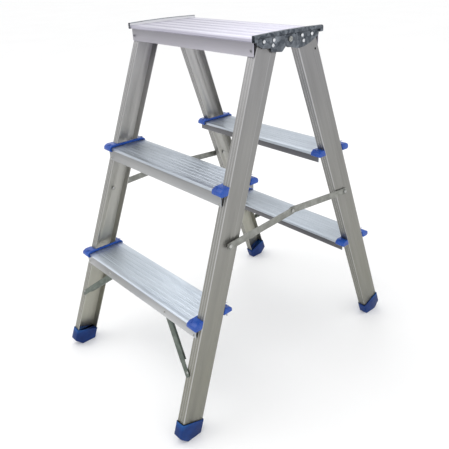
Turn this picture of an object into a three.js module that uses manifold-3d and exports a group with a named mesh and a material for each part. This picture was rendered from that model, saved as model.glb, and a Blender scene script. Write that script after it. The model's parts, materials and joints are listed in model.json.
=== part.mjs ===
// A double-sided folding step ladder: two aluminium frames with two treads each, hinged
// under a ribbed platform and held apart by a folding spreader on each side.
// Millimetres, +Z up, X across the width. The front frame is on the -Y side. The origin is
// on the floor, midway between the four feet. The ladder stands open.
import * as THREE from "three";
import { mergeVertices } from "three/addons/utils/BufferGeometryUtils.js";
import Module from "manifold-3d";

const wasm = await Module();
wasm.setup();

// Driving dimensions, in millimetres and degrees.
const HEIGHT = 700; // floor to the platform's surface
const LEAN = 20.1; // each frame's angle from the vertical, seen from the side
const SPLAY = 2.9; // each stile's angle from the vertical, seen from the front
const GAP = 0.4; // clearance between pieces that touch
const FAR = 400; // how far a cut or a trim reaches, past every piece that it meets

const STILE = { width: 18, depth: 49, wall: 1.5, outside: 176.4, front: 69.5 };
const STILE_TOP = 692.5; // the stiles are sawn level at this height
const STILE_LENGTH = 722; // along the slope, from the level of the platform
const STILE_SPAN = [-30, 760]; // along the slope, past both of its ends

const TREAD = { depth: 83, skirt: 29, backSkirt: 18.5, wall: 1.6, top: 2.6, bead: 2.2, ribPitch: 10 };
const TREAD_HEIGHTS = { lower: 232.6, upper: 462.6 };
const TREAD_LAP = 10; // how far a skirt laps over the stile's flange
const DECK = { depth: 170, skirt: 29.5, backSkirt: 29.5, wall: 1.6, top: 2.7, bead: 2.6, ribPitch: 14 };
const DECK_HALF = 175.8; // half the platform's length

const CAP = { rise: 5.5, bar: 7.5, inboard: 5, flush: 0.5, wrap: 22, blank: 60 };
const CAP_NOSE = { reach: 5.5, drop: 8.5 }; // before the tread
const CAP_NUB = { reach: 4, drop: 6.5 }; // behind it
const FOOT = { sleeve: 2, top: 700, toeHeight: 17, toeRun: 16.5, inside: 1.5 };

const PIVOT_HEIGHT = 690.5; // the two frames turn about this line, over the middle
const PLATE = { inner: 178.1, outer: 180.6, thickness: 2, top: 698.4, reach: 77.6 };
const RAIL = { inner: 176.2, outer: 183.3, bottom: 698.8, top: 704.8, crown: 1.6, reach: 86 };
const RAIL_HOOK = { bottom: 693.5, length: 8 }; // the rail's ends turn down this far
const RAIL_LEG = { inner: 160, bottom: 695.8, top: 696.9, reach: 78 };
const HINGE_SPAN = [150, 200]; // across X, past everything in a hinge
const HINGE_RIVETS = { // each frame's, as [from the middle, height]
  front: { outer: [-61.8, 693], inner: [-38.3, 693], lower: [-40.8, 684.6] },
  rear: { outer: [-58.2, 692.8], inner: [-32.6, 693], lower: [-36.4, 683.6] },
};

const LINK = { width: 14, thickness: 1.6, frontLayer: 4.4, rearLayer: 1.2 };
const SPREADER_HEIGHT = 362.5; // where the links are riveted to the stiles
const KNEE_HEIGHT = 373.5; // where the two links of a spreader meet

const BRACE = { width: 13, depth: 5, wall: 1.4, upper: [93, 213.5], lower: [189, 135], tuck: 1.1 };
const RIVET = { shank: 2.1, hole: 2.4, head: 3.3, crown: 1.9 };

const MATERIALS = {
  stile: { color: 0xa4a29c, roughness: 0.42, metalness: 0.85 },
  tread: { color: 0xc3c8ce, roughness: 0.36, metalness: 0.8 },
  deck: { color: 0xd6d4dd, roughness: 0.34, metalness: 0.8 },
  steel: { color: 0x6d7780, roughness: 0.45, metalness: 0.9 },
  rivet: { color: 0xc9ccd0, roughness: 0.28, metalness: 0.95 },
  plastic: { color: 0x1f4fa8, roughness: 0.38, metalness: 0.0 },
  sole: { color: 0x24408f, roughness: 0.6, metalness: 0.0 },
};

const { degToRad } = THREE.MathUtils;
const lean = Math.tan(degToRad(LEAN));
const splay = Math.tan(degToRad(SPLAY));
const leanCos = Math.cos(degToRad(LEAN));

// Directions: across, back and up, then those of a right-hand front stile.
const X = new THREE.Vector3(1, 0, 0);
const Y = new THREE.Vector3(0, 1, 0);
const Z = new THREE.Vector3(0, 0, 1);
const faceward = new THREE.Vector3(0, -leanCos, Math.sin(degToRad(LEAN)));
const downStile = new THREE.Vector3(splay, -lean, -1).normalize();
const sideways = new THREE.Vector3().crossVectors(faceward, downStile).normalize();

function frameOf(x, y, z, origin = new THREE.Vector3()) {
  return new THREE.Matrix4().makeBasis(x, y, z).setPosition(origin);
}

// An outline in (y, z) drawn out along X, one in (x, y) along Z, and one in (z, x) along Y.
const ALONG_X = frameOf(Y, Z, X);
const ALONG_Z = frameOf(X, Y, Z);
const ALONG_Y = frameOf(Z, X, Y);
const stileTop = new THREE.Vector3(STILE.outside, -STILE.front, HEIGHT);
const ALONG_STILE = frameOf(sideways, faceward, downStile, stileTop);

function solidFrom(geometry) {
  geometry.deleteAttribute("normal");
  geometry.deleteAttribute("uv");
  const merged = mergeVertices(geometry, 1e-4);
  const vertProperties = merged.attributes.position.array;
  const triVerts = new Uint32Array(merged.index.array);
  return new wasm.Manifold(new wasm.Mesh({ numProp: 3, vertProperties, triVerts }));
}

function geometryFrom(solid) {
  const { vertProperties, triVerts } = solid.getMesh();
  const geometry = new THREE.BufferGeometry();
  geometry.setAttribute("position", new THREE.BufferAttribute(vertProperties, 3));
  geometry.setIndex(new THREE.BufferAttribute(triVerts, 1));
  return geometry;
}

// A closed outline through [x, y, radius] corners, each rounded by its radius if it has one.
function outline(corners) {
  const shape = new THREE.Shape();
  corners.forEach(([x, y, radius = 0], i) => {
    const corner = new THREE.Vector2(x, y);
    const towards = (step) => {
      const [a, b] = corners.at((i + step) % corners.length);
      return new THREE.Vector2(a - x, b - y).setLength(radius).add(corner);
    };
    const enter = towards(-1);
    if (i === 0) shape.moveTo(enter.x, enter.y);
    else shape.lineTo(enter.x, enter.y);
    if (radius === 0) return;
    const leave = towards(1);
    shape.quadraticCurveTo(x, y, leave.x, leave.y);
  });
  return shape;
}

// A solid with the outline `corners`, from one distance to another along the frame's third axis.
function prism(corners, from, to, frame, curveSegments = 2) {
  const options = { depth: to - from, bevelEnabled: false, curveSegments };
  const geometry = new THREE.ExtrudeGeometry(outline(corners), options);
  return solidFrom(geometry.translate(0, 0, from).applyMatrix4(frame));
}

function box(x, y, z, frame = ALONG_Z) {
  const corners = [[x[0], y[0]], [x[1], y[0]], [x[1], y[1]], [x[0], y[1]]];
  return prism(corners, z[0], z[1], frame);
}

// A solid of revolution from [radius, distance] points that start and end on the axis.
function turned(profile, origin, axis, segments = 10) {
  const points = profile.map(([radius, along]) => new THREE.Vector2(radius, along));
  const across = new THREE.Vector3().crossVectors(axis, Z).normalize();
  const other = new THREE.Vector3().crossVectors(across, axis);
  const frame = frameOf(across, axis, other, origin);
  return solidFrom(new THREE.LatheGeometry(points, segments).applyMatrix4(frame));
}

function rod(radius, from, to, origin, axis, segments = 12) {
  return turned([[0, from], [radius, from], [radius, to], [0, to]], origin, axis, segments);
}

function mesh(name, solid, material) {
  const made = new THREE.Mesh(geometryFrom(solid), new THREE.MeshStandardMaterial(material));
  made.name = name;
  return made;
}

// A point given across the stile's web, out from its front face and down its length.
function onStile(across, out, down) {
  return new THREE.Vector3(across, out, down).applyMatrix4(ALONG_STILE);
}

// The outside of the stile, seen from the front, and the middle of its side, at a height.
const outsideAt = (height) => STILE.outside + (HEIGHT - height) * splay;
const middleAt = (height) => -(STILE.front + (HEIGHT - height) * lean) + STILE.depth / leanCos / 2;

// The line that the frames turn about, and the holes for a right-hand hinge plate's rivets.
const pivot = new THREE.Vector3(0, 0, PIVOT_HEIGHT);
const rivetPoint = ([y, z]) => new THREE.Vector3(0, y, z);
const hingeHoles = (frame) => Object.values(HINGE_RIVETS[frame]).map((at) =>
  rod(RIVET.hole, ...HINGE_SPAN, rivetPoint(at), X));

// Where the spreader's link is riveted to the stile, and where it meets the other link.
const linkPivotDown = (HEIGHT - SPREADER_HEIGHT) / -downStile.z
  - (STILE.depth / 2) * faceward.z / -downStile.z;
const linkPivot = onStile(0, -STILE.depth / 2, linkPivotDown);

// ---- Stiles: channels whose web faces out and whose flanges face each other. ----
function stileSection(gap = 0) {
  const { width, depth, wall } = STILE;
  const near = -wall - gap;
  const far = -depth + wall + gap;
  const tip = -width - gap;
  return [
    [gap, gap, 2.6], [tip, gap, 0.5], [tip, near], [near, near], [near, far], [tip, far],
    [tip, -depth - gap, 0.5], [gap, -depth - gap, 2.6],
  ];
}

// The same channel with two fine grooves down each flange and a shallow one down the web.
function groovedSection() {
  const { depth } = STILE;
  const section = stileSection();
  const flange = (face, inward, order) => order.flatMap((across) => {
    const step = order[0] > order[1] ? 0.6 : -0.6;
    return [
      [across + step, face], [across + step, face + inward],
      [across - step, face + inward], [across - step, face],
    ];
  });
  const front = flange(0, -0.4, [-6, -12]);
  const rear = flange(-depth, 0.4, [-12, -6]);
  const middle = -depth / 2;
  const web = [[0, middle - 11], [-0.35, middle - 10], [-0.35, middle + 10], [0, middle + 11]];
  return [section[0], ...front, ...section.slice(1, -1), ...rear, section.at(-1), ...web];
}

function stile(frame) {
  const channel = prism(groovedSection(), -10, STILE_LENGTH, ALONG_STILE);
  const aboveTop = box([-FAR, FAR], [-FAR, FAR], [STILE_TOP, HEIGHT + FAR]);
  const linkHole = rod(2.7, -10, 10, linkPivot, sideways);
  const cuts = [aboveTop, linkHole, ...hingeHoles(frame)];
  return channel.subtract(wasm.Manifold.union(cuts));
}

// The whole space inside the stile's outline, grown by the clearance, and on past its web.
function stileSpace() {
  const pastWeb = 12;
  return box([-STILE.width - GAP, pastWeb], [-STILE.depth - GAP, GAP], STILE_SPAN, ALONG_STILE);
}

function bothSides(solid) {
  return wasm.Manifold.union([solid, solid.mirror([1, 0, 0])]);
}

// ---- Treads and platform: ribbed extrusions with a bead and a skirt on both long edges. ----
// Half of the section, from the middle to the edge, with its skirt.
function halfSection({ depth, wall, top, bead, ribPitch }, skirt) {
  const edge = depth / 2;
  const face = edge - bead;
  const half = [];
  for (let y = ribPitch / 2; y < edge - 7; y += ribPitch)
    half.push([y - 0.9, 0], [y - 0.5, -0.6], [y + 0.5, -0.6], [y + 0.9, 0]);
  half.push(
    [edge, 0, 1.8], [edge, -5, 1.4], [face, -6.4], [face, -skirt, 0.5],
    [face - wall, -skirt, 0.5], [face - wall, -top, 0.8],
  );
  return half;
}

const reflected = (points) => points.map(([y, z, radius]) => [-y, z, radius]).reverse();

function treadSection(size) {
  return [...halfSection(size, size.backSkirt), ...reflected(halfSection(size, size.skirt))];
}

const treadHalf = (height) => outsideAt(height - TREAD.skirt / 2) - STILE.width + TREAD_LAP;

function tread(height) {
  const half = treadHalf(height);
  const place = ALONG_X.clone().setPosition(0, middleAt(height), height);
  return prism(treadSection(TREAD), -half, half, place).subtract(bothSides(stileSpace()));
}

function deck() {
  const place = ALONG_X.clone().setPosition(0, 0, HEIGHT);
  return prism(treadSection(DECK), -DECK_HALF, DECK_HALF, place);
}

// The space taken by a tread's bead and skirts, grown by the clearance.
function treadSpace(half, place) {
  const edge = TREAD.depth / 2 + GAP;
  const face = edge - TREAD.bead;
  const side = [[edge, GAP, 1.8], [edge, -5.4, 1.4], [face, -6.8], [face, -TREAD.skirt - 9]];
  return prism([...side, ...reflected(side)], 0, half + GAP, place);
}

// ---- Plastic caps: a bar along the tread's end, a nose before the stile, a nub behind. ----
function capEnd({ reach, drop }) {
  const edge = TREAD.depth / 2;
  const back = edge - CAP.wrap;
  return [
    [back, CAP.rise], [edge - 3, CAP.rise, 1.5], [edge + reach - 1, 1.5, 2],
    [edge + reach, 3 - drop, 1.5], [edge + 2.5, -drop, 1.2], [back, -drop],
  ];
}

function cap(height) {
  const { rise, bar, inboard, flush, blank } = CAP;
  const edge = TREAD.depth / 2;
  const inside = outsideAt(height) - STILE.width - inboard;
  const place = ALONG_X.clone().setPosition(0, middleAt(height), height);
  const block = wasm.Manifold.union([
    prism(reflected(capEnd(CAP_NOSE)), inside, inside + blank, place),
    prism(capEnd(CAP_NUB), inside, inside + blank, place),
    box([3 - edge, edge - 3], [GAP, rise], [inside, inside + bar], place),
  ]);
  const insideWeb = box([-FAR, flush], [-FAR, FAR], STILE_SPAN, ALONG_STILE);
  const spaces = [treadSpace(treadHalf(height), place), stileSpace()];
  return block.intersect(insideWeb).subtract(wasm.Manifold.union(spaces));
}

// ---- Plastic feet: a boot over the end of each stile, with a chamfered toe. ----
function foot() {
  const { sleeve, top, toeHeight, toeRun, inside } = FOOT;
  const heel = -STILE.depth - sleeve;
  const inner = -STILE.width - inside;
  const section = [[sleeve, sleeve, 3], [inner, sleeve, 2], [inner, heel, 2], [sleeve, heel, 3]];
  const face = -STILE.front - (HEIGHT - toeHeight) * lean - sleeve / leanCos;
  const toe = [
    [face, toeHeight], [face + toeRun, 0], [face + toeRun, -FAR], [face - FAR, -FAR],
    [face - FAR, toeHeight],
  ];
  const cuts = [
    box([0, FAR], [-FAR, 0], [-FAR, 0]),
    prism(toe, 0, FAR, ALONG_X),
    prism(stileSection(GAP), top - 20, STILE_LENGTH + GAP, ALONG_STILE),
  ];
  return prism(section, top, STILE_LENGTH + FAR, ALONG_STILE).subtract(wasm.Manifold.union(cuts));
}

// ---- Braces: a steel channel from behind a lower tread's skirt to a flat tab on the stile. ----
function brace() {
  const { width, depth, wall, upper, lower, tuck } = BRACE;
  const point = ([x, z], out) =>
    new THREE.Vector3(x, -STILE.front - (HEIGHT - z) * lean, z).addScaledVector(faceward, out);
  const start = point(upper, -tuck);
  const end = point(lower, GAP + wall);
  const length = start.distanceTo(end);
  const along = end.clone().sub(start).normalize();
  const across = new THREE.Vector3().crossVectors(faceward, along).normalize();
  const face = new THREE.Vector3().crossVectors(along, across);
  const place = frameOf(along, across, face, start);
  const half = width / 2;
  const tab = half - 1;
  const channel = length - 25;
  const web = [
    [-6, -half], [channel, -half, 1], [channel + 4, -tab, 1], [length + 8, -tab, tab * 0.9],
    [length + 8, tab, tab * 0.9], [channel + 4, tab, 1], [channel, half, 1], [-6, half],
  ];
  return wasm.Manifold.union([
    prism(web, -wall, 0, place),
    box([-6, channel], [-half, wall - half], [-depth, 0], place),
    box([-6, channel], [half - wall, half], [-depth, 0], place),
  ]);
}

// ---- Hinge: a pressed plate on the side of each stile's top, turning on a riveted pin. ----
function plateBlank(frame, arm, bossRadius) {
  const boss = rod(bossRadius, ...HINGE_SPAN, pivot, X, 20);
  const above = box([0, FAR], [-FAR, FAR], [PLATE.top, HEIGHT + FAR]);
  const pinHole = rod(2.9, ...HINGE_SPAN, pivot, X);
  const holes = wasm.Manifold.union([above, pinHole, ...hingeHoles(frame)]);
  return prism(arm, ...HINGE_SPAN, ALONG_X).add(boss).subtract(holes);
}

const plateEnd = [[-PLATE.reach, PLATE.top], [-PLATE.reach, 689, 2]];

// The front plate steps outwards past the rear one, and has a tab under the pin.
function frontHingePlate() {
  const arm = [
    ...plateEnd, [-65, 682.5, 4], [-45.5, 680.5, 1.5], [-43.5, 674, 2], [-20.5, 671.5, 2],
    [-10.5, 681, 2], [0, 681], [0, PLATE.top],
  ];
  const { inner, outer, thickness } = PLATE;
  const strip = [
    [inner, -100], [inner, -25.5], [outer, -18.5], [outer, 40],
    [outer + thickness, 40], [outer + thickness, -20], [inner + thickness, -27],
    [inner + thickness, -100],
  ];
  return plateBlank("front", arm, 13).intersect(prism(strip, 0, HEIGHT, ALONG_Z));
}

// The rear plate, drawn on the front side, is cut away where it would rise as it turns.
function rearHingePlate() {
  const arm = [
    ...plateEnd, [-58, 679, 4], [-40, 673.5, 3], [-24, 672, 3], [0, 677], [0, PLATE.top],
  ];
  const relief = [[0, PLATE.top], [6, 691.8], [11.5, 683.5], [30, 683.5], [30, 720], [0, 720]];
  const { inner, thickness } = PLATE;
  const layer = box([inner, inner + thickness], [-FAR, FAR], [0, HEIGHT]);
  return plateBlank("rear", arm, 14).subtract(prism(relief, ...HINGE_SPAN, ALONG_X)).intersect(layer);
}

function hingePin() {
  const { outer, thickness } = PLATE;
  const washer = outer + thickness + 0.3;
  return turned([
    [0, 173.4], [3.4, 173.4], [3.4, 175.2], [2.5, 175.2], [2.5, washer], [4.9, washer],
    [4.9, washer + 0.8], [3.8, washer + 0.8], [3.4, washer + 2.2], [2, washer + 3], [0, washer + 3],
  ], pivot, X, 12);
}

function hingeRivet(at) {
  const { shank, head, crown } = RIVET;
  const seat = PLATE.inner + PLATE.thickness + 0.3;
  return turned([
    [0, 172.4], [2.6, 172.4], [2.6, 174], [shank, 174], [shank, seat], [head, seat],
    [head * 0.85, seat + crown * 0.7], [head * 0.4, seat + crown], [0, seat + crown],
  ], rivetPoint(at), X, 8);
}

// ---- Platform ends: a steel strip rolled over at the top, with a leg under the platform. ----
// The roll is a little fuller at the middle of its length than at its ends.
function endRail() {
  const { inner, outer, bottom, top, crown, reach } = RAIL;
  const low = RAIL_HOOK.bottom;
  const inside = reach - RAIL_HOOK.length;
  const roll = [[inner, bottom], [outer, bottom, 1.2], [outer, top, 3], [inner, top, 2.2]];
  const hook = [[inner, low, 1.5], [outer, low, 1.5], [outer, bottom + 1], [inner, bottom + 1]];
  const leg = [RAIL_LEG.inner, inner + 1];
  const alongY = (corners) => corners.map(([x, z, radius]) => [z, x, radius]);
  const crowned = (point) => {
    const along = point[1] / reach;
    const share = (point[2] - bottom) / (top - bottom);
    point[2] += crown * (1 - along * along) * Math.max(share, 0);
  };
  return wasm.Manifold.union([
    prism(alongY(roll), -reach, reach, ALONG_Y).refine(4).warp(crowned),
    prism(alongY(hook), -reach, -inside, ALONG_Y),
    prism(alongY(hook), inside, reach, ALONG_Y),
    box(leg, [-RAIL_LEG.reach, RAIL_LEG.reach], [RAIL_LEG.bottom, RAIL_LEG.top]),
    box([inner, inner + 1], [-RAIL_LEG.reach, RAIL_LEG.reach], [RAIL_LEG.bottom, bottom + 1]),
  ]);
}

// ---- Spreader: two flat links a side, each riveted to a stile and meeting at the knee. ----
const toKnee = new THREE.Vector3(0, -linkPivot.y, KNEE_HEIGHT - linkPivot.z);
toKnee.x = -(sideways.y * toKnee.y + sideways.z * toKnee.z) / sideways.x;
const linkLength = toKnee.length();
const linkWay = toKnee.clone().normalize();
const linkSide = new THREE.Vector3().crossVectors(sideways, linkWay);
const ALONG_LINK = frameOf(linkWay, linkSide, sideways, linkPivot);
const knee = linkPivot.clone().add(toKnee);

function link(layer) {
  const half = LINK.width / 2;
  const to = layer + LINK.thickness;
  const flat = box([0, linkLength], [-half, half], [layer, to], ALONG_LINK);
  const ends = [linkPivot, knee].map((end) => rod(half, layer, to, end, sideways));
  return wasm.Manifold.union([flat, ...ends]).subtract(rod(2.8, -9, 19, linkPivot, sideways));
}

function spreaderPivot(layer) {
  const seat = layer + LINK.thickness + 0.3;
  return turned([
    [0, -3.9], [3.6, -3.9], [3.6, -2], [2.3, -2], [2.3, 0.35], [5, 0.35], [5, layer - 0.3],
    [2.3, layer - 0.3], [2.3, seat], [4.4, seat], [3.9, seat + 1.4], [2, seat + 2], [0, seat + 2],
  ], linkPivot, sideways, 12);
}

// The knee's rivet belongs to the front link and stops clear of the rear one.
function kneeRivet() {
  const seat = LINK.frontLayer + LINK.thickness;
  return turned([
    [0, seat + 0.3], [4.4, seat + 0.3], [3.9, seat + 1.6], [2, seat + 2.2], [0, seat + 2.2],
  ], knee, sideways, 12);
}

// ---- Assembly: each piece is made once, on the right of the front, and mirrored. ----
function frameSide(frame, side) {
  const hand = `${frame}_${side}`;
  const group = new THREE.Group();
  const front = frame === "front";
  const layer = front ? LINK.frontLayer : LINK.rearLayer;
  group.add(
    mesh(`${hand}_stile`, stile(frame), MATERIALS.stile),
    mesh(`${hand}_foot`, foot(), MATERIALS.sole),
    mesh(`${hand}_brace`, brace(), MATERIALS.steel),
    mesh(`${hand}_hinge_plate`, front ? frontHingePlate() : rearHingePlate(), MATERIALS.steel),
    mesh(`${hand}_spreader_link`, link(layer), MATERIALS.steel),
    mesh(`${hand}_spreader_pivot`, spreaderPivot(layer), MATERIALS.rivet),
  );
  for (const [level, height] of Object.entries(TREAD_HEIGHTS))
    group.add(mesh(`${hand}_${level}_cap`, cap(height), MATERIALS.plastic));
  for (const [place, at] of Object.entries(HINGE_RIVETS[frame]))
    group.add(mesh(`${hand}_hinge_rivet_${place}`, hingeRivet(at), MATERIALS.rivet));
  if (front) {
    group.add(
      mesh(`${side}_hinge_pin`, hingePin(), MATERIALS.rivet),
      mesh(`${side}_knee_rivet`, kneeRivet(), MATERIALS.rivet),
      mesh(`${side}_end_rail`, endRail(), MATERIALS.steel),
    );
  }
  group.scale.set(side === "right" ? 1 : -1, 1, 1);
  return group;
}

function ladderFrame(frame) {
  const group = new THREE.Group();
  for (const side of ["left", "right"]) group.add(frameSide(frame, side));
  for (const [level, height] of Object.entries(TREAD_HEIGHTS))
    group.add(mesh(`${frame}_${level}_tread`, tread(height), MATERIALS.tread));
  group.scale.set(1, frame === "front" ? 1 : -1, 1);
  return group;
}

const ladder = new THREE.Group();
ladder.add(ladderFrame("front"), ladderFrame("rear"), mesh("platform", deck(), MATERIALS.deck));

export default ladder;
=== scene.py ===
"""The visual model of a two-sided folding step ladder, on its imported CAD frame.

Metres, in the frame's own axes: +Z up, X across the width, the front frame towards -Y.
Every piece takes its place from the CAD nodes and joints, and rides on their bodies.
"""
import json
import math

import bmesh
import bpy
from mathutils import Matrix, Vector


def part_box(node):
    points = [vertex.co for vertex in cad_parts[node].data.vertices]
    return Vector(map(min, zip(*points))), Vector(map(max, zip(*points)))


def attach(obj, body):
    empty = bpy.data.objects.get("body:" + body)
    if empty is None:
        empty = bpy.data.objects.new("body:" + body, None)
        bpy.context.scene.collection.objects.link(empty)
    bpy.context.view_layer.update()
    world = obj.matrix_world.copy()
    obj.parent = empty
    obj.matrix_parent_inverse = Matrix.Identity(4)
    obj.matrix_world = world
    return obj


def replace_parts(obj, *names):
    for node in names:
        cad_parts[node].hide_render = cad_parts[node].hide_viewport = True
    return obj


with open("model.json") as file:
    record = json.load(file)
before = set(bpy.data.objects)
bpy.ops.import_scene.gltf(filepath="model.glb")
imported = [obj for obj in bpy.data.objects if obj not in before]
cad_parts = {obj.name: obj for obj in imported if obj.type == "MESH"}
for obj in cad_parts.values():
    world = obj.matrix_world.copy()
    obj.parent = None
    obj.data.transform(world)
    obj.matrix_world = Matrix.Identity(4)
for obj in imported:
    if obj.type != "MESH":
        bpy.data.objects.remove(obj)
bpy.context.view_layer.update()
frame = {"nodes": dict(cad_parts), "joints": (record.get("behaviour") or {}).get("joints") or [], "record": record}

MM = 0.001
UP = Vector((0, 0, 1))
ALONG_TREAD = Vector((1, 0, 0))

# Which frames and sides there are, with the sign of the way out from the ladder's middle.
AWAY = {"front": -1, "rear": 1}
OUTWARD = {"left": -1, "right": 1}
HANDS = [(end, side) for end in AWAY for side in OUTWARD]
LEVELS = ("lower", "upper")

BEHAVIOUR = frame["record"]["behaviour"]
BODY_OF = {node: body for body, nodes in BEHAVIOUR["bodies"].items() for node in nodes}
JOINTS = {joint["name"]: joint for joint in frame["joints"]}

# The stiles: their angle from the vertical seen from the side, and from the front, and depth.
LEAN = math.radians(20.1)
SPLAY = math.radians(2.9)
STILE_DEPTH = 49 * MM

# The camera: its place, its angles in degrees, and its lens, in millimetres.
CAMERA_PLACE = (0.81704, -0.71661, 0.8204)
CAMERA_TURN, CAMERA_TILT, CAMERA_ROLL = 49.0, 26.61, -2.37
CAMERA_LENS, CAMERA_SENSOR = 43.02, 36

# Each softbox: its place, its width and height, its power in watts, and its colour.
SOFTBOXES = {
    "overhead": ((-0.8, -1.2, 2.4), (1.8, 1.8), 14, (1.0, 0.99, 0.98)),
    "front": ((2.3, -2.0, 0.75), (0.35, 1.0), 4, (1.0, 1.0, 1.0)),
    "back": ((-1.3, 1.4, 2.2), (1.2, 1.2), 5, (0.97, 0.99, 1.0)),
}
LIGHT_AIM = (0, 0, 0.4)

# The room's colour, from straight below to a little above the horizon and all above that.
ROOM_BELOW, ROOM_ABOVE = (0.96, 0.97, 0.98), (1.0, 1.0, 1.0)
ROOM_TURNS_WHITE = 0.58  # as a share of the way from straight below to straight above
ROOM_STRENGTH = 1.05
FLOOR_REACH = 30

TREAD_DARK, TREAD_LIGHT = (0.50, 0.55, 0.61), (0.60, 0.65, 0.71)

# Shades that multiply a metal's own colour; the web, skirt, back skirt, fascia, stile-foot and tread shades are
# painted light and shade.
WHITE = (1.0, 1.0, 1.0)
# Painted shade on a stile's faces outside its channel, deeper on the rear stiles
OUTER_WEB_PAINTED_SHADE = {"front": 0.60, "rear": 0.55}
# Painted shade on the skirts under a tread's face, deeper on the skirt between the frames
SKIRT_PAINTED_SHADE = (0.72, 0.67, 0.62)
BACK_SKIRT_PAINTED_SHADE = (0.34, 0.31, 0.30)
# Painted shade on the platform's fascia under its nosing
FASCIA_PAINTED_SHADE = (0.72, 0.72, 0.68)
STRIPE_SHADE = (0.8, 0.79, 0.82)
# A painted reflection of the floor: warmer and darker towards a stile's foot
STILE_FOOT_PAINTED_REFLECTION = (0.87, 0.87, 0.74)
# Painted light and shade: each tread's metal made lighter or darker to stand for how light falls on it
TREAD_PAINTED_LIGHT_AND_SHADE = {"front_lower": 1.12, "front_upper": 0.86, "rear_lower": 0.80, "rear_upper": 0.86}

# Blind rivets, in millimetres: how far out from the middle, and how far below the face.
SKIRT_RIVETS = {"upper": (176.5, 24.5), "lower": (187.5, 23)}
FASCIA_RIVET = (170.5, 20)
BRACE_TOP_RIVET = (99, 17.5)
BRACE_END_RIVET = (190.5, 9)  # the second is its height above the brace's lower end
TREAD_BEAD, DECK_BEAD = 2.2 * MM, 2.6 * MM  # how far a face's front edge overhangs the skirt
WEB_BORE = Vector((72, 665.5)) * MM  # how far behind the middle, and how high

# Spreader links, in millimetres: how far out from the stile each one lies, and the points
# [half width, height] of a link's section, from its back to the pan in its face.
LINK_LAYERS = {"front": 4.4, "rear": 1.2}
LINK_SECTION = ((7, 0), (7, 1.6), (5.3, 1.6), (4.8, 0.9))


# ---- Camera, floor and light ----

def place_camera():
    camera = bpy.data.objects.new("camera", bpy.data.cameras.new("camera"))
    camera.data.lens = CAMERA_LENS
    camera.data.sensor_width = CAMERA_SENSOR
    camera.matrix_world = (
        Matrix.Translation(CAMERA_PLACE)
        @ Matrix.Rotation(math.radians(CAMERA_TURN), 4, "Z")
        @ Matrix.Rotation(math.pi / 2 - math.radians(CAMERA_TILT), 4, "X")
        @ Matrix.Rotation(math.radians(CAMERA_ROLL), 4, "Z")
    )
    bpy.context.collection.objects.link(camera)
    bpy.context.scene.camera = camera


def softbox(name, place, size, watts, colour):
    light = bpy.data.lights.new(name, "AREA")
    light.shape = "RECTANGLE"
    light.size, light.size_y = size
    light.energy = watts
    light.color = colour
    lamp = bpy.data.objects.new(name, light)
    lamp.visible_camera = False
    lamp.location = place
    way = Vector(LIGHT_AIM) - Vector(place)
    lamp.rotation_euler = way.to_track_quat("-Z", "Y").to_euler()
    bpy.context.collection.objects.link(lamp)


def light_the_studio():
    for name, settings in SOFTBOXES.items():
        softbox(name, *settings)
    world = bpy.data.worlds.new("studio")
    bpy.context.scene.world = world
    world.use_nodes = True
    tree = world.node_tree
    place = tree.nodes.new("ShaderNodeTexCoord")
    split = tree.nodes.new("ShaderNodeSeparateXYZ")
    ramp = tree.nodes.new("ShaderNodeValToRGB")
    tree.links.new(place.outputs["Generated"], split.inputs[0])
    tree.links.new(split.outputs["Z"], ramp.inputs[0])
    below, above = ramp.color_ramp.elements
    below.color = (*ROOM_BELOW, 1)
    above.color = (*ROOM_ABOVE, 1)
    above.position = ROOM_TURNS_WHITE
    tree.links.new(ramp.outputs[0], tree.nodes["Background"].inputs["Color"])
    tree.nodes["Background"].inputs["Strength"].default_value = ROOM_STRENGTH


def lay_floor(material):
    floor = bpy.data.meshes.new("floor")
    corners = [(x * FLOOR_REACH, y * FLOOR_REACH, 0) for x, y in ((-1, -1), (1, -1), (1, 1), (-1, 1))]
    floor.from_pydata(corners, [], [(0, 1, 2, 3)])
    floor.materials.append(material)
    plane = bpy.data.objects.new("floor", floor)
    bpy.context.collection.objects.link(plane)


# ---- Materials ----

def shaded(colour, shade):
    return [shade * channel for channel in colour]


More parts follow.
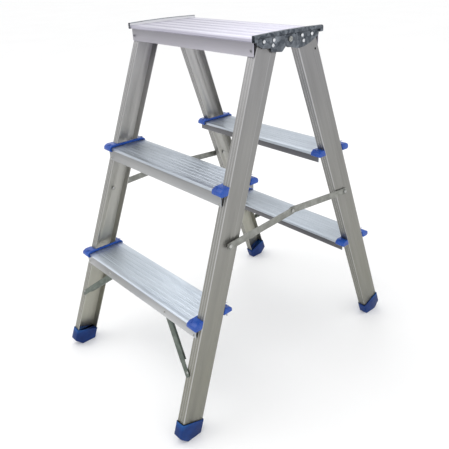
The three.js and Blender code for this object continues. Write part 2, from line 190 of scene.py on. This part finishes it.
class Paint:
    """A material under construction: a Principled shader and the nodes that feed it."""

    def __init__(self, name, **sockets):
        self.material = bpy.data.materials.new(name)
        self.material.use_nodes = True
        self.tree = self.material.node_tree
        self.shader = self.tree.nodes["Principled BSDF"]
        for socket, value in sockets.items():
            self.shader.inputs[socket.replace("_", " ")].default_value = value
        coordinates = self.tree.nodes.new("ShaderNodeTexCoord").outputs
        self.place = coordinates["Object"]
        self.facing = coordinates["Normal"]

    def node(self, kind, inputs, output=0, **settings):
        made = self.tree.nodes.new("ShaderNode" + kind)
        for key, value in settings.items():
            setattr(made, key, value)
        for key, value in inputs.items():
            if isinstance(value, bpy.types.NodeSocket):
                self.tree.links.new(value, made.inputs[key])
            else:
                made.inputs[key].default_value = value
        return made.outputs[output]

    def part(self, vector, axis):
        """A vector's X, Y or Z."""
        return self.node("SeparateXYZ", {"Vector": vector}, axis)

    def maths(self, operation, *values):
        return self.node("Math", dict(enumerate(values)), operation=operation)

    def drawn(self, along, stretch):
        """Coordinates that run `stretch` times slower along one direction."""
        turn = UP.rotation_difference(along).to_euler()
        inputs = {"Vector": self.place, "Rotation": turn, "Scale": (1, 1, stretch)}
        return self.node("Mapping", inputs, vector_type="TEXTURE")

    def noise(self, vector, scale, detail=3.0):
        inputs = {"Vector": vector, "Scale": scale, "Detail": detail, "Roughness": 0.55}
        return self.node("TexNoise", inputs)

    def spread(self, value, low, high, start=0.3, end=0.7):
        """Turns start..end into low..high, and holds there beyond either end."""
        inputs = {"Value": value, "From Min": start, "From Max": end, "To Min": low, "To Max": high}
        return self.node("MapRange", inputs)

    def ramp(self, value, start, dark, end, light):
        made = self.tree.nodes.new("ShaderNodeValToRGB")
        self.tree.links.new(value, made.inputs[0])
        for element, place, colour in zip(made.color_ramp.elements, (start, end), (dark, light)):
            element.position = place
            element.color = (*colour, 1)
        return made.outputs[0]

    def mix(self, share, a, b, blend="MIX"):
        """Colour `a`, with a share of colour `b`."""
        made = self.tree.nodes.new("ShaderNodeMix")
        made.data_type = "RGBA"
        made.blend_type = blend
        for socket, value in zip((made.inputs[0], made.inputs[6], made.inputs[7]), (share, a, b)):
            if isinstance(value, bpy.types.NodeSocket):
                self.tree.links.new(value, socket)
            elif isinstance(value, float):
                socket.default_value = value
            else:
                socket.default_value = (*value, 1)
        return made.outputs[2]

    def times(self, colour, shade, share=1.0):
        """The colour multiplied by a shade, or by a share of it."""
        return self.mix(share, colour, shade, "MULTIPLY")

    def feed(self, socket, value):
        self.tree.links.new(value, self.shader.inputs[socket])

    def bump(self, height, depth, strength):
        inputs = {"Height": height, "Distance": depth, "Strength": strength}
        self.feed("Normal", self.node("Bump", inputs))


def aluminium(name, along, dark, light, rough, tint):
    """Extruded aluminium: fine die lines along its length, and a slow change of tone."""
    paint = Paint(name, Metallic=0.9)
    lines = paint.noise(paint.drawn(along, 60), 900, detail=4)
    bands = paint.noise(paint.drawn(along, 12), 90, detail=2)
    tone = paint.noise(paint.place, 7, detail=2)
    colour = paint.ramp(paint.spread(bands, 0, 1), 0.0, dark, 1.0, light)
    colour = paint.mix(paint.spread(tone, 0.0, 0.3), colour, shaded(dark, 0.88))
    colour = paint.mix(paint.spread(lines, 0.0, 0.25), colour, light)
    paint.feed("Base Color", tint(paint, colour))
    paint.feed("Roughness", paint.spread(lines, rough - 0.06, rough + 0.08))
    paint.bump(lines, 0.04 * MM, 0.6)
    return paint.material


def stile_painted_light(end, side):
    """Painted light on a stile: painted shade on its faces outside the channel, a painted highlight along its
    rounded corners, and a warmer painted reflection towards the foot."""
    inward = -OUTWARD[side]
    square = face_normal(end)
    middle = stile_corner(end, side).dot(square) - STILE_DEPTH / 2
    flange = [STILE_DEPTH / 2 - inset * MM for inset in (1.2, 0.4)]

    def tint(paint, colour):
        across, along = (paint.part(paint.facing, axis) for axis in ("X", "Y"))
        web = paint.spread(across, 0.0, 1.0, 0.8 * inward, 0.95 * inward)
        depth = paint.node("VectorMath", {0: paint.place, 1: square}, "Value", operation="DOT_PRODUCT")
        depth = paint.maths("ABSOLUTE", paint.maths("SUBTRACT", depth, middle))
        within = paint.spread(depth, 0.8, 0.0, *flange)
        level = paint.spread(paint.maths("ABSOLUTE", across), 1.0, 0.0, 0.1, 0.5)
        inside = paint.maths("MAXIMUM", web, paint.maths("MULTIPLY", within, level))
        # Painted shade: faces outside the channel are darkened, while the inside of the channel stays bright
        colour = paint.times(colour, paint.mix(inside, shaded(WHITE, OUTER_WEB_PAINTED_SHADE[end]), WHITE))
        # Painted reflection: warmer and darker towards the foot
        low = paint.spread(paint.part(paint.place, "Z"), 1.0, 0.0, 0.12, 0.66)
        colour = paint.times(colour, STILE_FOOT_PAINTED_REFLECTION, low)
        # Painted highlight along the rounded corners, where the normal leans between two faces
        corner = paint.maths("ABSOLUTE", paint.maths("MULTIPLY", across, along))
        return paint.mix(paint.spread(corner, 0.0, 0.45, 0.22, 0.42), colour, (0.85, 0.85, 0.88))
    return tint


def skirt_painted_shade(node, away, outer, inner, bead_height=6.4, stripes=None):
    """Painted shade on a tread's skirts: darker than its face, darkest just under the bead and lighter towards
    their lower edge, `outer` towards the front or back of the ladder, `inner` between the frames. The platform has
    soft stripes."""
    low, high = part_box(node)
    top = high.z - bead_height * MM

    def tint(paint, colour):
        height = paint.part(paint.place, "Z")
        below = paint.spread(height, 1.0, 0.0, top - 0.6 * MM, top + 1.2 * MM)
        shadow = paint.spread(height, 0.0, 1.0, low.z + 1 * MM, top)
        if stripes is not None:
            inputs = {"Vector": paint.place, "Scale": stripes}
            wave = paint.node("TexWave", inputs, 1, bands_direction="Y")
            colour = paint.mix(wave, paint.times(colour, STRIPE_SHADE), colour)
        # Painted shade on skirt faces below the bead, darkest just under it and lighter towards the lower edge
        for way, shade in ((away, outer), (-away, inner)):
            flat = paint.spread(paint.part(paint.facing, "Y"), 0.0, 1.0, 0.75 * way, 0.97 * way)
            graded = paint.mix(shadow, shaded(shade, 1.2), shaded(shade, 0.72))
            share = paint.maths("MULTIPLY", flat, below)
            colour = paint.mix(share, colour, paint.times(colour, graded))
        return colour
    return tint


def rail_painted_light(side):
    """Painted light: an end rail is brighter on its inner face, which meets the platform's end."""
    inward = -OUTWARD[side]

    def tint(paint, colour):
        share = paint.spread(paint.part(paint.facing, "X"), 0.0, 1.0, 0.88 * inward, 0.98 * inward)
        return paint.mix(share, colour, (0.72, 0.72, 0.75))
    return tint


def pale_rim(paint, colour):
    """A foot is paler round its top edge."""
    share = paint.spread(paint.part(paint.place, "Z"), 0.0, 0.6, 32 * MM, 43 * MM)
    return paint.mix(share, colour, (0.01, 0.10, 0.34))


def plain(paint, colour):
    return colour


def galvanised(name, dark, light, rough, tint=plain):
    """Galvanised steel: spangles in cells of their own tone, under a fine grain and dirt."""
    paint = Paint(name, Metallic=0.85)
    spangle = paint.node("TexVoronoi", {"Vector": paint.place, "Scale": 170.0}, "Color")
    cell = paint.node("SeparateColor", {"Color": spangle})
    grain = paint.noise(paint.place, 1400, detail=4)
    dirt = paint.noise(paint.place, 60, detail=3)
    base = paint.ramp(paint.spread(cell, 0, 1, 0.0, 1.0), 0.0, dark, 1.0, light)
    colour = paint.mix(paint.spread(dirt, 0.0, 0.6), base, shaded(dark, 0.55))
    paint.feed("Base Color", tint(paint, colour))
    paint.feed("Roughness", paint.spread(cell, rough - 0.08, rough + 0.1, 0.0, 1.0))
    paint.bump(grain, 0.08 * MM, 0.5)
    return paint.material


def moulded(name, dark, light, rough, grain_depth, specular, tint=plain):
    """Moulded plastic: a fine spark-eroded grain and slightly uneven gloss."""
    paint = Paint(name, Specular_IOR_Level=specular)
    cloud = paint.noise(paint.place, 35, detail=2)
    grain = paint.noise(paint.place, 1800, detail=3)
    colour = paint.ramp(paint.spread(cloud, 0, 1), 0.0, dark, 1.0, light)
    paint.feed("Base Color", tint(paint, colour))
    paint.feed("Roughness", paint.spread(grain, rough - 0.07, rough + 0.07))
    paint.bump(grain, grain_depth, 0.5)
    return paint.material


def zinc(name, dark, light):
    """The zinc on rivets and pins."""
    paint = Paint(name, Metallic=1.0)
    grain = paint.noise(paint.place, 1100, detail=4)
    cloud = paint.noise(paint.place, 120, detail=2)
    paint.feed("Base Color", paint.ramp(cloud, 0.3, dark, 0.7, light))
    paint.feed("Roughness", paint.spread(grain, 0.18, 0.34))
    paint.bump(grain, 0.05 * MM, 0.4)
    return paint.material


def floor_paper():
    paint = Paint("floor_paper", Roughness=0.9, Specular_IOR_Level=0.1)
    cloud = paint.noise(paint.place, 2, detail=1)
    paint.feed("Base Color", paint.ramp(cloud, 0.2, shaded(WHITE, 0.94), 0.8, shaded(WHITE, 0.96)))
    return paint.material


def face_normal(end):
    """Square out of a front stile's front flange, or of a rear stile's back one."""
    return Vector((0, AWAY[end] * math.cos(LEAN), math.sin(LEAN)))


def stile_corner(end, side):
    """The corner of a stile that is furthest from the ladder's middle, on its outer flange."""
    vertices = frame["nodes"][f"{end}_{side}_stile"].data.vertices
    return max((vertex.co for vertex in vertices), key=lambda at: AWAY[end] * at.y)


def stile_direction(end, side):
    """Down the length of one stile."""
    across, away = OUTWARD[side] * math.tan(SPLAY), AWAY[end] * math.tan(LEAN)
    return Vector((across, away, -1)).normalized()


# A tread's metal, lightened or darkened as painted light and shade for that tread, with painted shade on its
# skirts
def tread_metal(tread):
    dark, light = (shaded(colour, TREAD_PAINTED_LIGHT_AND_SHADE[tread]) for colour in (TREAD_DARK, TREAD_LIGHT))
    node = f"{tread}_tread"
    tone = skirt_painted_shade(node, AWAY[tread.split("_")[0]], SKIRT_PAINTED_SHADE, BACK_SKIRT_PAINTED_SHADE)
    return aluminium(f"{node}_aluminium", ALONG_TREAD, dark, light, 0.36, tone)


def stile_metal(end, side):
    name = f"{end}_{side}_stile_aluminium"
    dark, light = (0.46, 0.455, 0.46), (0.53, 0.525, 0.53)
    return aluminium(name, stile_direction(end, side), dark, light, 0.4, stile_painted_light(end, side))


def rail_steel(side):
    dark, light = (0.05, 0.06, 0.075), (0.22, 0.245, 0.28)
    return galvanised(f"{side}_rail_steel", dark, light, 0.38, rail_painted_light(side))


STEEL = galvanised("galvanised_steel", (0.05, 0.06, 0.075), (0.25, 0.275, 0.31), 0.38)
LINK_STEEL = galvanised("spreader_steel", (0.27, 0.275, 0.25), (0.36, 0.365, 0.34), 0.42)
BRACE_STEEL = galvanised("brace_steel", (0.12, 0.145, 0.125), (0.21, 0.235, 0.21), 0.45)
RAIL_STEEL = {side: rail_steel(side) for side in OUTWARD}
ZINC = zinc("zinc", (0.50, 0.52, 0.55), (0.86, 0.87, 0.9))
DULL_ZINC = zinc("dull_zinc", (0.26, 0.27, 0.26), (0.5, 0.5, 0.48))
DARK_ZINC = zinc("dark_zinc", (0.10, 0.10, 0.11), (0.3, 0.3, 0.32))
# A near-black painted shadow for the bore in each rear stile's web
PAINTED_BORE_SHADOW = moulded(
    "shadowed_bore", (0.004, 0.004, 0.005), (0.012, 0.012, 0.014), 0.8, 0.02 * MM, 0.1)
CAP_PLASTIC = moulded(
    "cap_plastic", (0.002, 0.042, 0.28), (0.004, 0.075, 0.40), 0.28, 0.03 * MM, 0.5)
FOOT_PLASTIC = moulded(
    "foot_plastic", (0.001, 0.016, 0.10), (0.003, 0.034, 0.17), 0.45, 0.06 * MM, 0.22, pale_rim)
STILE_METAL = {hand: stile_metal(*hand) for hand in HANDS}
FACE_METAL = {f"{tread}_tread": tread_metal(tread) for tread in TREAD_PAINTED_LIGHT_AND_SHADE}
# The deck's fascia gets painted shade under its nosing, as the tread skirts do
FACE_METAL["platform"] = aluminium(
    "deck_aluminium", ALONG_TREAD, (0.57, 0.56, 0.64), (0.66, 0.65, 0.73), 0.36,
    skirt_painted_shade("platform", AWAY["front"], FASCIA_PAINTED_SHADE, FASCIA_PAINTED_SHADE, bead_height=6.8, stripes=11.22))


# ---- Making pieces ----

def add_piece(name, mesh, material, node):
    """A piece that rides with a CAD node's body, in the material it is given."""
    piece = bpy.data.objects.new(name, mesh)
    bpy.context.collection.objects.link(piece)
    mesh.materials.clear()
    mesh.materials.append(material)
    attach(piece, BODY_OF[node])
    return piece


def add_skin(node, bm, material, round_by, segments=2, sharp=40):
    """A piece that takes a CAD node's place."""
    mesh = finish_mesh(node, bm, round_by, segments, sharp)
    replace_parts(add_piece(node + "_skin", mesh, material, node), node)


def finish_mesh(name, bm, round_by=0.0, segments=2, sharp=40):
    """The mesh of `bm`, with its corners rounded and the rest shaded smooth."""
    mesh = bpy.data.meshes.new(name)
    bmesh.ops.recalc_face_normals(bm, faces=bm.faces)
    bm.to_mesh(mesh)
    bm.free()
    if round_by > 0:
        holder = bpy.data.objects.new(name + "_bevel", mesh)
        bpy.context.collection.objects.link(holder)
        bevel = holder.modifiers.new("Bevel", "BEVEL")
        bevel.width = round_by
        bevel.segments = segments
        bevel.limit_method = "ANGLE"
        bevel.angle_limit = math.radians(sharp)
        bevel.use_clamp_overlap = False
        graph = bpy.context.evaluated_depsgraph_get()
        rounded = bpy.data.meshes.new_from_object(holder.evaluated_get(graph))
        bpy.data.objects.remove(holder)
        bpy.data.meshes.remove(mesh)
        mesh = rounded
        mesh.name = name
    mesh.shade_smooth()
    mesh.set_sharp_from_angle(angle=math.radians(sharp))
    return mesh


def copy_of(node):
    """A CAD node's mesh, with its flat faces whole."""
    bm = bmesh.new()
    bm.from_mesh(frame["nodes"][node].data)
    bmesh.ops.remove_doubles(bm, verts=bm.verts, dist=0.01 * MM)
    bmesh.ops.dissolve_limit(bm, angle_limit=math.radians(0.5), verts=bm.verts, edges=bm.edges)
    return bm


def refine(node, material, round_by, segments=2):
    """A copy of a CAD node with rounded edges, which takes the node's place."""
    add_skin(node, copy_of(node), material, round_by, segments)


def lathe(bm, profile, origin, axis, steps=28):
    """Turns [radius, height] points about an axis; the first and last lie on it."""
    turn = UP.rotation_difference(Vector(axis))
    rings = []
    for radius, height in profile:
        count = 1 if radius == 0 else steps
        ring = []
        for step in range(count):
            angle = 2 * math.pi * step / count
            point = Vector((radius * math.cos(angle), radius * math.sin(angle), height))
            ring.append(bm.verts.new(Vector(origin) + turn @ point))
        rings.append(ring)
    for one, two in zip(rings, rings[1:]):
        for step in range(max(len(one), len(two))):
            nearby = [one[step % len(one)], one[(step + 1) % len(one)],
                      two[(step + 1) % len(two)], two[step % len(two)]]
            bm.faces.new(list(dict.fromkeys(nearby)))


def join_rings(bm, rings):
    """Faces from each closed ring of corners to the next, and one across either end."""
    for one, two in zip(rings, rings[1:]):
        for step in range(len(one)):
            after = (step + 1) % len(one)
            bm.faces.new((one[step], one[after], two[after], two[step]))
    for ring in (rings[0], rings[-1]):
        bm.faces.new(ring)


def dome(radius, height, base=0.0, steps=6):
    """The profile of a domed head that stands on `base`, from its rim to its crown."""
    angles = [math.pi / 2 * step / steps for step in range(steps)]
    rim = [(radius * math.cos(a), base + height * math.sin(a)) for a in angles]
    return rim + [(0, base + height)]


def pop_rivet(name, place, axis, node, material, radius=2.6 * MM, height=1.3 * MM):
    """A blind rivet: a low dome with the hole that its stem leaves."""
    sunk = 0.4 * MM
    crown = [point for point in dome(radius, height) if point[0] > radius * 0.34]
    hole = [(radius * 0.3, height * 0.93), (radius * 0.26, height * 0.35), (0, height * 0.35)]
    bm = bmesh.new()
    lathe(bm, [(0, -sunk), (radius, -sunk)] + crown + hole, place, axis)
    add_piece(name, finish_mesh(name, bm), material, node)


def turned_part(node, profile, origin, axis, material):
    """A turned piece, from [radius, height] in millimetres, which takes a CAD node's place."""
    bm = bmesh.new()
    lathe(bm, [(radius * MM, height * MM) for radius, height in profile], origin, axis, steps=32)
    add_skin(node, bm, material, 0.15 * MM, sharp=50)


def turned_across(node, side, profile_of, material):
    """A turned piece whose axis runs across the ladder, from its length in millimetres."""
    low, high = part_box(node)
    start = (low + high) / 2
    start.x = low.x if side == "right" else high.x
    length = (high.x - low.x) / MM
    turned_part(node, profile_of(length), start, (OUTWARD[side], 0, 0), material)


def middle_of(node):
    low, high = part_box(node)
    return (low + high) / 2


def bead(bm, points, width, height, out):
    """A half-round stamped bead along `points`, standing `height` out of a flat face."""
    sides = 8
    end_size = 0.45  # of its full width and height
    sunk = 0.2 * MM
    rings = []
    last = len(points) - 1
    for index, point in enumerate(points):
        way = (points[min(index + 1, last)] - points[max(index - 1, 0)]).normalized()
        side = way.cross(out).normalized()
        size = end_size if index in (0, last) else 1.0
        ring = []
        for step in range(sides + 1):
            angle = math.pi * step / sides
            corner = point + side * (math.cos(angle) * width / 2 * size)
            corner += out * (math.sin(angle) * height * size)
            if step in (0, sides):
                corner -= out * sunk
            ring.append(bm.verts.new(corner))
        rings.append(ring)
    join_rings(bm, rings)


# ---- Treads and platform ----

def ribs(node, reach, offsets, width, height):
    """Fine grip ribs along a tread, at `offsets` across it, standing just above its face."""
    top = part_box(node)[1].z
    centre = middle_of(node)
    bm = bmesh.new()
    for offset in offsets:
        ends = (-reach, -reach + MM, reach - MM, reach)
        bead(bm, [Vector((x, centre.y + offset, top)) for x in ends], width, height, UP)
    add_piece(node + "_ribs", finish_mesh(node + "_ribs", bm, sharp=60), FACE_METAL[node], node)


def between_grooves(half, pitch, shares, skip=1):
    """Places across a face for ribs between grooves `pitch` apart, on each `skip`th land."""
    lands = int(half // pitch)
    return [
        (land + share) * pitch
        for land in range(-lands, lands + 1) if land % skip == 0
        for share in shares
    ]


def dress_treads():
    rib_places = between_grooves(35 * MM, 10 * MM, (-0.17, 0.17))
    for end in AWAY:
        for level in LEVELS:
            node = f"{end}_{level}_tread"
            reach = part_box(f"{end}_right_{level}_cap")[0].x - 0.8 * MM
            refine(node, FACE_METAL[node], 0.25 * MM)
            ribs(node, reach, rib_places, 1.5 * MM, 0.3 * MM)
    rib_places = between_grooves(70 * MM, 14 * MM, (-0.25, 0.0, 0.25), skip=2)
    refine("platform", FACE_METAL["platform"], 0.25 * MM)
    ribs("platform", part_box("platform")[1].x - 2.5 * MM, rib_places, 1.7 * MM, 0.35 * MM)


# ---- Frames ----

def dress_frames():
    for end, side in HANDS:
        hand = f"{end}_{side}"
        refine(f"{hand}_stile", STILE_METAL[end, side], 0.25 * MM)
        refine(f"{hand}_foot", FOOT_PLASTIC, 1.2 * MM, segments=3)
        refine(f"{hand}_brace", BRACE_STEEL, 0.3 * MM)
        for level in LEVELS:
            refine(f"{hand}_{level}_cap", CAP_PLASTIC, 0.9 * MM, segments=3)


def on_flange(end, side, across, height):
    """A point on a stile's outer flange."""
    corner = stile_corner(end, side)
    return Vector((across, corner.y - AWAY[end] * (height - corner.z) * math.tan(LEAN), height))


def skirt_rivet(name, end, side, node, place, overhang, material):
    """A blind rivet in a tread's outer skirt, which is set back under the face's edge."""
    low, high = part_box(node)
    across, drop = place
    face = (low.y if end == "front" else high.y) - AWAY[end] * overhang
    centre = (OUTWARD[side] * across * MM, face, high.z - drop * MM)
    pop_rivet(f"{end}_{side}_{name}", centre, Vector((0, AWAY[end], 0)), node, material)


def rivet_frames():
    """Blind rivets through the skirts and braces, and a painted-shadow bore on each rear stile."""
    for end, side in HANDS:
        for level, place in SKIRT_RIVETS.items():
            node = f"{end}_{level}_tread"
            skirt_rivet(f"{level}_skirt_rivet", end, side, node, place, TREAD_BEAD, DULL_ZINC)
        node = f"{end}_lower_tread"
        skirt_rivet("fascia_rivet", end, side, "platform", FASCIA_RIVET, DECK_BEAD, DARK_ZINC)
        skirt_rivet("brace_rivet_upper", end, side, node, BRACE_TOP_RIVET, TREAD_BEAD, DULL_ZINC)
        brace_end_rivet(end, side)
        if end == "rear":
            web_bore(end, side)


def brace_end_rivet(end, side):
    """The blind rivet that holds a brace's lower end to the stile, through the end's tab."""
    node = f"{end}_{side}_brace"
    across, rise = BRACE_END_RIVET
    tab = 1.9 * MM
    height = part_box(node)[0].z + rise * MM
    square = face_normal(end)
    place = on_flange(end, side, OUTWARD[side] * across * MM, height) + square * tab
    pop_rivet(f"{end}_{side}_brace_rivet_lower", place, square, node, DULL_ZINC)


def out_of_web(end, side):
    """Square out of a stile's web, and a point on it: the spreader's pivot."""
    joint = JOINTS[f"{end}_{side}_link_turn"]
    axis = Vector(joint["axis"]).normalized()
    return axis * OUTWARD[side] * (1 if axis.x > 0 else -1), Vector(joint["pos_m"])


def web_bore(end, side):
    """A black dome high on a stile's web: a painted shadow standing for an open rivet hole."""
    axis, pivot = out_of_web(end, side)
    y, z = WEB_BORE
    x = (pivot.dot(axis) - y * axis.y - z * axis.z) / axis.x
    stile = f"{end}_{side}_stile"
    pop_rivet(f"{end}_{side}_web_bore", (x, y, z), axis, stile, PAINTED_BORE_SHADOW, 2 * MM, 0.3 * MM)


# ---- Hinges ----

def dress_hinges():
    for end, side in HANDS:
        plate = f"{end}_{side}_hinge_plate"
        refine(plate, STEEL, 0.4 * MM)
        stamp_plate(end, side, plate)
        for place in ("outer", "inner", "lower"):
            rivet = f"{end}_{side}_hinge_rivet_{place}"
            turned_across(rivet, side, hinge_rivet, ZINC)
    for side in OUTWARD:
        turned_across(f"{side}_hinge_pin", side, hinge_pin, DULL_ZINC)
        hollow_rail(side)


def hinge_rivet(length):
    """A rivet's tail, shank and domed head."""
    tail, shank, head, crown = 2.6, 2.1, 3.3, 1.9
    seat = length - crown
    return [(0, 0), (tail, 0), (tail, 1.6), (shank, 1.6), (shank, seat)] + dome(head, crown, seat)


def hinge_pin(length):
    """A pin's tail, shank and washer, and its low head with a dimple where it was closed."""
    tail, shank, washer, head = 3.4, 2.5, 4.5, 3.7
    seat, face, crown = length - 3, length - 2.2, length - 1.6
    dimple = [(1.4, length), (1.1, length - 0.7), (0, length - 0.7)]
    return [
        (0, 0), (tail, 0), (tail, 1.8), (shank, 1.8), (shank, seat), (washer, seat), (washer, face),
        (head, face), *dome(head, 1.6, crown)[:-1], *dimple,
    ]


def stamp_plate(end, side, node):
    """A bead along the plate's arm, and on a front plate a ring round the pin."""
    out = Vector((OUTWARD[side], 0, 0))
    outermost = 1 if side == "right" else 0
    bm = bmesh.new()
    if end == "front":
        pin, ring = middle_of(f"{side}_hinge_pin"), 8.6 * MM
        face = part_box(node)[outermost].x
        turn = [math.radians(angle) for angle in range(0, 181, 12)]
        half = [Vector((face, pin.y + ring * math.cos(a), pin.z - ring * math.sin(a))) for a in turn]
        bead(bm, half, 2.2 * MM, 0.7 * MM, out)
    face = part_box(f"rear_{side}_hinge_plate")[outermost].x
    route = ((72, 690), (66, 687.6), (52, 685.4), (48, 685))  # from the middle, and height
    arm = [Vector((face, AWAY[end] * y * MM, z * MM)) for y, z in route]
    bead(bm, arm, 2.6 * MM, 0.7 * MM, out)
    add_piece(node + "_beads", finish_mesh(node + "_beads", bm, sharp=60), STEEL, node)


def hollow_rail(side):
    """The end rail, whose rolled edge is open at both ends."""
    node = f"{side}_end_rail"
    wall, depth = 1.3 * MM, 5 * MM
    bm = copy_of(node)
    low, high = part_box(node)
    for away, edge in ((-1, low.y), (1, high.y)):
        ends = [
            face for face in bm.faces
            if face.normal.y * away > 0.99 and abs(face.calc_center_median().y - edge) < 0.1 * MM
        ]
        bmesh.ops.inset_region(bm, faces=ends, thickness=wall, use_even_offset=True)
        corners = list({corner for face in ends for corner in face.verts})
        bmesh.ops.translate(bm, verts=corners, vec=(0, -away * depth, 0))
    add_skin(node, bm, RAIL_STEEL[side], 0.4 * MM)


# ---- Spreaders ----

def dress_spreaders():
    for end, side in HANDS:
        axis, pivot = out_of_web(end, side)
        knee = middle_of(f"{side}_knee_rivet")
        layer = LINK_LAYERS[end]
        pressed_link(f"{end}_{side}_spreader_link", pivot, knee, axis, layer)
        turned_part(f"{end}_{side}_spreader_pivot", spreader_pivot(layer), pivot, axis, DULL_ZINC)
        if end == "front":
            knee_rivet = [(0, -1.0), *dome(3.9, 2.0, -1.0)]
            turned_part(f"{side}_knee_rivet", knee_rivet, knee, axis, DULL_ZINC)


def spreader_pivot(layer):
    """A rivet's tail inside the stile, its shank, the collar under the link, and its head."""
    tail, shank, collar = 3.6, 2.3, 5
    under, seat = layer - 0.3, layer + 1.9
    return [
        (0, -3.9), (tail, -3.9), (tail, -2), (shank, -2), (shank, 0.35), (collar, 0.35),
        (collar, under), (shank, under), (shank, seat), *dome(4.1, 1.9, seat),
    ]


def pressed_link(node, pivot, knee, axis, layer):
    """A spreader link: a strip with round ends and a shallow pan pressed in its outer face."""
    steps = 16  # round each end
    knee = knee - axis * (knee - pivot).dot(axis)
    along = (knee - pivot).normalized()
    side = axis.cross(along)
    bm = bmesh.new()
    rings = []
    for radius, height in LINK_SECTION:
        ring = []
        for end, start in ((pivot, math.pi / 2), (knee, -math.pi / 2)):
            for step in range(steps + 1):
                angle = start + math.pi * step / steps
                way = along * math.cos(angle) + side * math.sin(angle)
                ring.append(bm.verts.new(end + way * radius * MM + axis * (layer + height) * MM))
        rings.append(ring)
    join_rings(bm, rings)
    add_skin(node, bm, LINK_STEEL, 0.25 * MM, sharp=30)


place_camera()
lay_floor(floor_paper())
light_the_studio()
dress_frames()
dress_treads()
rivet_frames()
dress_hinges()
dress_spreaders()
bpy.context.scene.view_settings.view_transform = "Standard"
